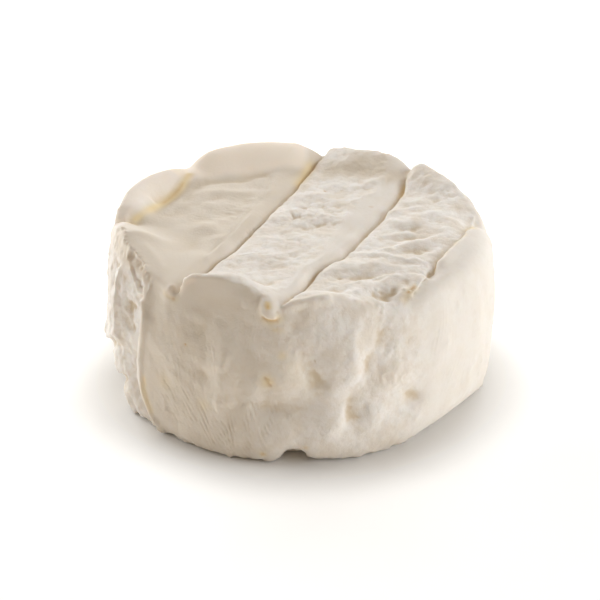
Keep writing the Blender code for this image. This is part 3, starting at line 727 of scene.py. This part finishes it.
# %% Grow the relief
RELIEF = (
    # group, pattern, weights, detail, grain size in mm, stretch of x, y and z, height in mm
    ("pills", "VORONOI", brainy * (1 - calm), 0, 1.25, (1.0, 1.3, 1.0), -0.55),
    ("top_folds", "CLOUDS", upward * (1 - calm), 0, 4.5, (1.3, 1.2, 1.0), 0.80),
    ("left_lumps", "CLOUDS", upward * left_strip * (1 - calm), 0, 5.5, (1.1, 1.3, 1.0), 0.80),
    ("right_folds", "CLOUDS", upward * right_strip * (1 - calm), 1, 2.4, (2.0, 1.0, 1.0), 0.25),
    ("top_bumps", "CLOUDS", upward * (1 - 0.9 * calm) * (1 - 0.7 * left_strip), 0, 1.9, (1.0, 1.1, 1.0), 0.32),
    ("top_felt", "CLOUDS", upward * (1 - 0.75 * calm) * (1 - 0.6 * left_strip), 1, 0.8, (1.0, 1.1, 1.0), 0.16),
    ("wall_lumps", "CLOUDS", sideways * (1 - 0.9 * calm), 0, 4.5, (1.0, 1.0, 1.2), 0.60),
    ("wall_bumps", "CLOUDS", sideways * (1 - 0.9 * calm), 0, 1.9, (1.0, 1.0, 1.1), 0.24),
    ("torn", "CLOUDS", sideways * torn, 1, 1.4, (1.0, 1.0, 1.3), 0.60),
    ("wall_felt", "CLOUDS", sideways * (1 - 0.7 * calm), 1, 0.8, (1.0, 1.0, 1.0), 0.15),
)
stretch = bpy.data.objects.new("stretch", None)
bpy.context.collection.objects.link(stretch)
bpy.context.view_layer.objects.active = skin_body
for name, kind, weights, detail, grain, scale, height in RELIEF:
    stretch.scale = scale
    bpy.context.view_layer.update()
    pattern = bpy.data.textures.new(name, kind)
    pattern.noise_scale = grain * MM
    if kind == "CLOUDS":
        pattern.noise_depth = detail
    relief = skin_body.modifiers.new(name, "DISPLACE")
    relief.texture = pattern
    relief.texture_coords = "OBJECT"
    relief.texture_coords_object = stretch
    relief.vertex_group = set_group(name, weights)
    relief.mid_level = 0.5
    relief.strength = height * MM
    bpy.ops.object.modifier_apply(modifier=relief.name)
bpy.data.objects.remove(stretch)
print("relief layers:", len(RELIEF))

# %% [markdown]
# ## Finish the mesh
# The foot is pressed flat again where it stands. Decimate then spends triangles where the skin is
# rough and saves them on the flat base, so one piece holds all the detail under 200,000 triangles.

# %% Flatten the foot, thin and shade
skin = read_points()
skin[:, 2] = np.maximum(skin[:, 2], 0.0)
write_points(skin)
thin = skin_body.modifiers.new("thin_faces", "DECIMATE")
thin.ratio = min(1.0, 190000 / (2 * len(skin_body.data.polygons)))
bpy.ops.object.modifier_apply(modifier=thin.name)
skin_body.vertex_groups.clear()
bpy.ops.object.select_all(action="DESELECT")
skin_body.select_set(True)
bpy.ops.object.shade_smooth()
skin = read_points()
normals = read_normals()
print("triangles:", len(skin_body.data.loops) - 2 * len(skin_body.data.polygons))


# %% Measure how hollow each point is, for painted shade in the hollows
def hollowness(times):
    """How far a point lies under a smoothed copy of the skin, in millimetres."""
    smooth = skin_body.modifiers.new("smooth_copy", "SMOOTH")
    smooth.factor = 0.5
    smooth.iterations = times
    smoothed = skin_body.evaluated_get(bpy.context.evaluated_depsgraph_get()).data
    flat = np.empty(len(skin) * 3, dtype=np.float32)
    smoothed.vertices.foreach_get("co", flat)
    skin_body.modifiers.remove(smooth)
    return np.einsum("ij,ij->i", flat.reshape(-1, 3) / MM - skin, normals)


# Painted shade: the deeper a point lies in a hollow, the darker and warmer it is painted.
painted_hollow_shade = 0.5 * fade(hollowness(30), 0.02, 0.25) + 0.7 * fade(hollowness(250), 0.05, 0.9)
bearing = np.degrees(np.arctan2(skin[:, 1], skin[:, 0]))
# The painted shade is kept faint beside the lip and its branch, on the curl and on the lip beside it.
beside_lip = np.exp(-(((bearing + 137.5) / 4.5) ** 2)) * fade(-skin[:, 2], -38, -34)
painted_hollow_shade = painted_hollow_shade * (1.0 - 0.8 * beside_lip)
for place, width in (((-38.5, -24.5, 40.5), 4.0), ((-30.3, -35.8, 41.8), 1.5), ((-27.5, -37.3, 44.0), 2.0)):
    painted_hollow_shade = painted_hollow_shade * (1.0 - 0.8 * np.exp(-((np.linalg.norm(skin - np.array(place), axis=1) / width) ** 2)))
print("hollow share:", np.mean(painted_hollow_shade > 0.3).round(3))

# %% [markdown]
# ## Paint where each colour lies
# The same brushes now paint instead of push. Each colour gets one attribute, a number from 0 to 1 at
# each point, which the material reads. Where the felt is thin, the cheese below shows warm and beige.
# Where the skin was pinched it is bare and yellow, and where whey dried it is ochre. Some of the
# paint is light and shade: painted shade in hollows and creases, on the front left and under the
# front rim, and a painted glow on the thin flaps and the curl.

# %% Brushes that paint
def tint_line(values, line, width, amount, taper=2.0):
    near, gap, side, along, length = beside_line(skin, normals, line, width * 3)
    soft = np.exp(-((gap / width) ** 2)) * fade(np.minimum(along, length - along), -0.01, taper)
    values[near] = np.maximum(values[near], amount * soft)


def tint_spot(values, spot, width, amount):
    gap = np.linalg.norm(skin - spot, axis=1)
    values[:] = np.maximum(values, amount * np.exp(-((gap / width) ** 2)))


skin_tree = find_skin()
across_wires = skin[:, 0] * math.cos(WIRE_TURN) - skin[:, 1] * math.sin(WIRE_TURN)
rubbed = smooth_areas(skin)
thin_felt_and_shade = rubbed * 0.2
yellow_and_crease_shade = np.zeros(len(skin))
ochre_and_crease_shade = np.zeros(len(skin))

# %% Paint the pinched and the stained places, and painted shade in the creases
first_wire = even_spots(top_line(*first_line), 1.5)
tint_line(yellow_and_crease_shade, first_wire, 1.2, 0.85, taper=1.0)
# Painted shade: a narrow ochre line in the first wire's shallow crease.
tint_line(ochre_and_crease_shade, first_wire[3:14], 0.5, 0.35)
tint_line(yellow_and_crease_shade, [on_top(*wire_point(1, place, -1.1)) for place in (22, 26, 30, 34, 38, 40)], 1.6, 0.75, taper=5.0)
# Painted shade: a narrow ochre line in the second wire's crease at the back.
tint_line(ochre_and_crease_shade, [on_top(*wire_point(1, place, -0.3)) for place in (28, 32, 36, 40)], 0.6, 0.35, taper=3.0)
tint_line(yellow_and_crease_shade, [on_top(*wire_point(2, place)) for place in (28, 31, 34, 37)], 0.9, 0.7)
tint_line(yellow_and_crease_shade, [on_top(*wire_point(3, place)) for place in (14, 17, 20, 22)], 1.3, 0.75)
tint_line(ochre_and_crease_shade, top_line((27.0, -34.6), (26.0, -35.9), (25.3, -36.8), (24.6, -37.7)), 0.45, 0.75, taper=0.8)
tint_line(yellow_and_crease_shade, top_line((27.8, -33.4), (26.0, -36.0), (24.2, -38.6), (23.2, -40.4)), 1.2, 0.4)
tint_line(ochre_and_crease_shade, wall_line(*below_bead), 0.5, 0.5, taper=1.2)
tint_line(yellow_and_crease_shade, wall_line((-102.0, 39.8), (-98.4, 38.6), (-94.2, 39.8)), 1.2, 0.5)
tint_line(yellow_and_crease_shade, near_skin((-7.6, -46.2, 43.4), (-7.6, -46.8, 42.5), (-7.3, -47.2, 41.8)), 0.7, 0.95, taper=0.3)
tint_spot(ochre_and_crease_shade, near_skin((-7.6, -46.8, 42.4))[0], 0.5, 0.35)
tint_line(yellow_and_crease_shade, wall_line((-133.0, 40.4), (-131.0, 39.9), (-129.0, 39.3), (-126.6, 40.0)), 0.6, 0.3, taper=1.5)
tint_spot(ochre_and_crease_shade, near_skin((-28.0, -35.4, 42.0))[0], 0.6, 0.4)
tint_spot(ochre_and_crease_shade, on_wall(-129.0, 39.4), 0.4, 0.5)
tint_line(yellow_and_crease_shade, wall_line((-99.4, 37.0), (-97.0, 36.6), (-94.0, 37.2)), 0.7, 0.4)
tint_line(yellow_and_crease_shade, wall_line((-139.6, 17.0), (-139.9, 12.5), (-138.6, 9.0), (-136.5, 5.6)), 0.8, 0.5)
tint_line(yellow_and_crease_shade, wall_line((-142.0, 29.0), (-142.8, 25.0)), 1.0, 0.3)
WALL_STAINS = (
    # bearing, height, width, strength of yellow, strength of ochre
    (-99.0, 23.4, 1.9, 0.6, 0.0), (-95.0, 30.6, 1.1, 0.5, 0.0), (-92.0, 27.0, 2.5, 0.18, 0.0),
    (-100.8, 3.2, 0.9, 0.6, 0.45), (-88.6, 5.5, 0.7, 0.4, 0.3), (-88.0, 22.0, 3.0, 0.10, 0.0),
    (-118.6, 14.0, 1.6, 0.3, 0.0), (-124.2, 28.9, 0.45, 0.3, 1.0), (-132.0, 17.0, 2.4, 0.25, 0.0),
    (-31.5, 27.5, 0.3, 0.2, 0.9),
)
for degrees, height, width, beige, brown in WALL_STAINS:
    tint_spot(yellow_and_crease_shade, on_wall(degrees, height), width, beige)
    tint_spot(ochre_and_crease_shade, on_wall(degrees, height), width * 0.55, brown)
tint_line(ochre_and_crease_shade, wall_line(*stain), 0.45, 0.28, taper=0.8)
tint_spot(ochre_and_crease_shade, on_top(6.3, 21.1), 0.32, 1.0)
tint_spot(ochre_and_crease_shade, on_top(18.2, 11.5), 0.32, 1.0)
# Painted shade: a faint yellow along the bottom of the creases.
for index, places in ((1, np.arange(-36, 40, 3.0)), (2, np.arange(-38, 38, 3.0)), (3, np.arange(-12, 14, 3.0))):
    tint_line(yellow_and_crease_shade, [on_top(*wire_point(index, place)) for place in places], 0.8, 0.3)
# Painted glow: the thin back flap of the left strip and the flap left of the first wire, lit through from behind, are
# painted a lighter cream.
flap_base = np.interp(skin[:, 0], *FLAP_BASE)
painted_glow = fade(skin[:, 1] - flap_base, -0.5, 2.5) * fade(-skin[:, 0], -3, 0) * fade(skin[:, 2], 39, 41)
left_of_wire = -(skin[:, 0] * math.cos(WIRE_TURN) - skin[:, 1] * math.sin(WIRE_TURN))
painted_glow = np.maximum(painted_glow, 0.45 * fade(left_of_wire, 38, 40) * fade(skin[:, 2], 38, 41))
# Darker and warmer towards the foot.
thin_felt_and_shade = np.maximum(thin_felt_and_shade, 0.30 * fade(-skin[:, 2], -14.0, -2.0))
# The strip between the first two wires is darker and warmer, except on its glowing flap.
on_top_left = fade(-across_wires, 9, 12) * fade(across_wires, -39, -37) * fade(skin[:, 2], 38, 41)
thin_felt_and_shade = np.maximum(thin_felt_and_shade, 0.75 * on_top_left * (1 - painted_glow))
# Painted shade: the wall just below the front rim is painted darker and warmer.
tint_line(thin_felt_and_shade, wall_line((-123.0, 39.0), (-117.0, 40.5), (-111.0, 41.0), (-104.0, 40.0)), 3.6, 0.9, taper=4.0)
# Painted shade: the front left of the wall, turned away from the lamps, is painted darker and warmer.
front_left_painted_shade = fade(-bearing, 72, 120) * (1 - fade(-bearing, 139, 143)) * (1 - fade(np.abs(normals[:, 2]), 0.5, 0.9))
thin_felt_and_shade = np.maximum(thin_felt_and_shade, 0.75 * front_left_painted_shade)
# The back flap of the middle strip is darker and warmer.
for x, y in ((9.0, 34.0), (13.0, 33.0), (16.0, 36.0), (17.0, 33.0), (21.0, 31.5), (24.0, 29.0), (21.0, 34.5)):
    tint_spot(thin_felt_and_shade, on_top(x, y), 4.0, 1.0)
# Painted glow on the thin curl and on the lip beside it.
tint_line(painted_glow, curl, 0.5, 0.9, taper=0)
tint_line(painted_glow, lip[:6], 0.9, 0.8)
for name, values in (("rubbed", rubbed), ("painted_hollow_shade", painted_hollow_shade), ("thin_felt_and_shade", thin_felt_and_shade), ("painted_glow", painted_glow),
                     ("yellow_and_crease_shade", yellow_and_crease_shade), ("ochre_and_crease_shade", ochre_and_crease_shade)):
    layer = skin_body.data.attributes.new(name, "FLOAT", "POINT")
    layer.data.foreach_set("value", np.clip(values, 0, 1).astype(np.float32))
    print("painted", name, np.count_nonzero(values > 0.3))

# %% [markdown]
# ## The rind's material
# Common name: bloomy rind, a felt of white mould that was grown on the cheese and patted down. It is
# matt and warm white, a little light enters it, and it has no gloss. Colours are typed as sRGB hex
# values and turned to linear by one function, because the shader reckons in linear light.

# %% Helpers for materials
def colour(text):
    """An sRGB hex value as the linear colour that a shader reads."""
    parts = [int(text[i:i + 2], 16) / 255 for i in (1, 3, 5)]
    return tuple(p / 12.92 if p <= 0.04045 else ((p + 0.055) / 1.055) ** 2.4 for p in parts) + (1.0,)


def add_node(tree, kind, values=None, links=None, **settings):
    """Adds a node, sets its properties and socket values, and links sockets from other nodes."""
    node = tree.nodes.new(kind)
    for name, value in settings.items():
        setattr(node, name, value)
    for socket, value in (values or {}).items():
        node.inputs[socket].default_value = value
    for socket, source in (links or {}).items():
        tree.links.new(source, node.inputs[socket])
    return node


# %% Bloomy rind, grown and patted down: matt, warm white, with painted shade in the hollows
rind = bpy.data.materials.new("bloomy_rind_grown_patted")
rind.use_nodes = True
tree = rind.node_tree
tree.nodes.clear()
place = add_node(tree, "ShaderNodeTexCoord").outputs["Object"]
masks = {name: add_node(tree, "ShaderNodeAttribute", attribute_name=name).outputs["Fac"]
         for name in ("rubbed", "painted_hollow_shade", "thin_felt_and_shade", "painted_glow", "yellow_and_crease_shade", "ochre_and_crease_shade")}
# Clouding of the felt, 7 mm wide, and mottles of 1.6 mm where it is thinner
clouding = add_node(tree, "ShaderNodeTexNoise", {"Scale": 1 / 0.007, "Detail": 4.0, "Roughness": 0.6},
                    {"Vector": place})
mottles = add_node(tree, "ShaderNodeTexNoise", {"Scale": 1 / 0.0016, "Detail": 3.0, "Roughness": 0.6},
                   {"Vector": place})
cloud_part = add_node(tree, "ShaderNodeMapRange", {"From Min": 0.40, "From Max": 0.66, "To Max": 0.8},
                      {"Value": clouding.outputs["Fac"]}, interpolation_type="SMOOTHSTEP")
mottle_part = add_node(tree, "ShaderNodeMapRange", {"From Min": 0.48, "From Max": 0.70, "To Max": 0.35},
                       {"Value": mottles.outputs["Fac"]}, interpolation_type="SMOOTHSTEP")
kept_felt = add_node(tree, "ShaderNodeMapRange", {"To Min": 1.0, "To Max": 0.35}, {"Value": masks["rubbed"]})
clouded = add_node(tree, "ShaderNodeMath", links={0: cloud_part.outputs["Result"], 1: kept_felt.outputs["Result"]},
                   operation="MULTIPLY")
mottled = add_node(tree, "ShaderNodeMath", links={0: mottle_part.outputs["Result"], 1: kept_felt.outputs["Result"]},
                   operation="MULTIPLY")
white = add_node(tree, "ShaderNodeRGB")
white.outputs["Color"].default_value = colour("#EFE8DF")
print("nodes:", len(tree.nodes))


# %% Layer the colours
def layered(under, hex_value, amount):
    """Mixes a colour over another by an amount that a socket gives."""
    mix = add_node(tree, "ShaderNodeMix", data_type="RGBA")
    mixed = [s for s in mix.inputs if s.type == "RGBA"]
    tree.links.new(under, mixed[0])
    mixed[1].default_value = colour(hex_value)
    tree.links.new(amount, mix.inputs["Factor"])
    return next(s for s in mix.outputs if s.type == "RGBA")


base = layered(white.outputs["Color"], "#E6DACA", clouded.outputs["Value"])
base = layered(base, "#DDD0BE", mottled.outputs["Value"])
# Painted shade in the hollows
base = layered(base, "#D8C6AB", masks["painted_hollow_shade"])
# Beige where the felt is thin, and painted shade on the front left and below the front rim
base = layered(base, "#DDCFBB", masks["thin_felt_and_shade"])
# Painted glow, a lighter cream on thin rind that light shines through
base = layered(base, "#FBECDB", masks["painted_glow"])
# Yellow where the skin is bare, and painted shade in the creases
base = layered(base, "#EED6A4", masks["yellow_and_crease_shade"])
# Ochre stains, and painted shade in two creases
base = layered(base, "#C69A5A", masks["ochre_and_crease_shade"])

# %% Felt, grain and pores as bump, then the shader
bump_part = add_node(tree, "ShaderNodeMath", {1: 0.6}, {0: kept_felt.outputs["Result"]}, operation="MULTIPLY")
# Threads of felt are far finer than a pixel, so they are drawn 0.4 mm wide to show at all
threads = add_node(tree, "ShaderNodeTexNoise", {"Scale": 1 / 0.0004, "Detail": 3.0, "Roughness": 0.65},
                   {"Vector": place})
pills = add_node(tree, "ShaderNodeTexNoise", {"Scale": 1 / 0.0009, "Detail": 3.0, "Roughness": 0.6, "Distortion": 0.5},
                 {"Vector": place})
pill_bump = add_node(tree, "ShaderNodeBump", {"Distance": 0.22 * MM},
                     {"Height": pills.outputs["Fac"], "Strength": bump_part.outputs["Value"]})
thread_bump = add_node(tree, "ShaderNodeBump", {"Distance": 0.11 * MM},
                       {"Height": threads.outputs["Fac"], "Strength": bump_part.outputs["Value"],
                        "Normal": pill_bump.outputs["Normal"]})
shader = add_node(tree, "ShaderNodeBsdfPrincipled",
                  {"Roughness": 0.82, "IOR": 1.42, "Specular IOR Level": 0.25,
                   "Subsurface Weight": 0.22, "Subsurface Radius": (1.0, 0.75, 0.5), "Subsurface Scale": 1.4 * MM,
                   "Sheen Weight": 0.10, "Sheen Roughness": 0.6, "Sheen Tint": colour("#FFFFFF")},
                  {"Base Color": base, "Normal": thread_bump.outputs["Normal"]})
add_node(tree, "ShaderNodeOutputMaterial", links={"Surface": shader.outputs["BSDF"]})
skin_body.data.materials.clear()
skin_body.data.materials.append(rind)
print("rind nodes:", len(tree.nodes))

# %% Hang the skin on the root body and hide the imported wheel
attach(skin_body, "root")
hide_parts("cheese_wheel")

# %% [markdown]
# ## The floor
# A sheet of matt white board on a light table, large enough to fill the view. The weak glow from
# below keeps it pale in the wheel's own shade. It is only the stage.

# %% Lay the floor
bpy.ops.object.select_all(action="DESELECT")
bpy.ops.mesh.primitive_plane_add(size=4.0)
floor = bpy.context.object
floor.name = "floor"
board = bpy.data.materials.new("pale_board_matt")
board.use_nodes = True
board.node_tree.nodes["Principled BSDF"].inputs["Base Color"].default_value = colour("#F5F4F2")
board.node_tree.nodes["Principled BSDF"].inputs["Roughness"].default_value = 0.9
board_shader = board.node_tree.nodes["Principled BSDF"]
board_shader.inputs["Emission Color"].default_value = colour("#FFFDFA")
board_place = add_node(board.node_tree, "ShaderNodeTexCoord").outputs["Object"]
from_centre = add_node(board.node_tree, "ShaderNodeVectorMath", links={"Vector": board_place}, operation="LENGTH")
glow = add_node(board.node_tree, "ShaderNodeMapRange", {"From Min": 0.047, "From Max": 0.066, "To Max": 0.34},
                {"Value": from_centre.outputs["Value"]}, interpolation_type="SMOOTHSTEP")
board.node_tree.links.new(glow.outputs["Result"], board_shader.inputs["Emission Strength"])
floor.data.materials.append(board)
print("floor laid")
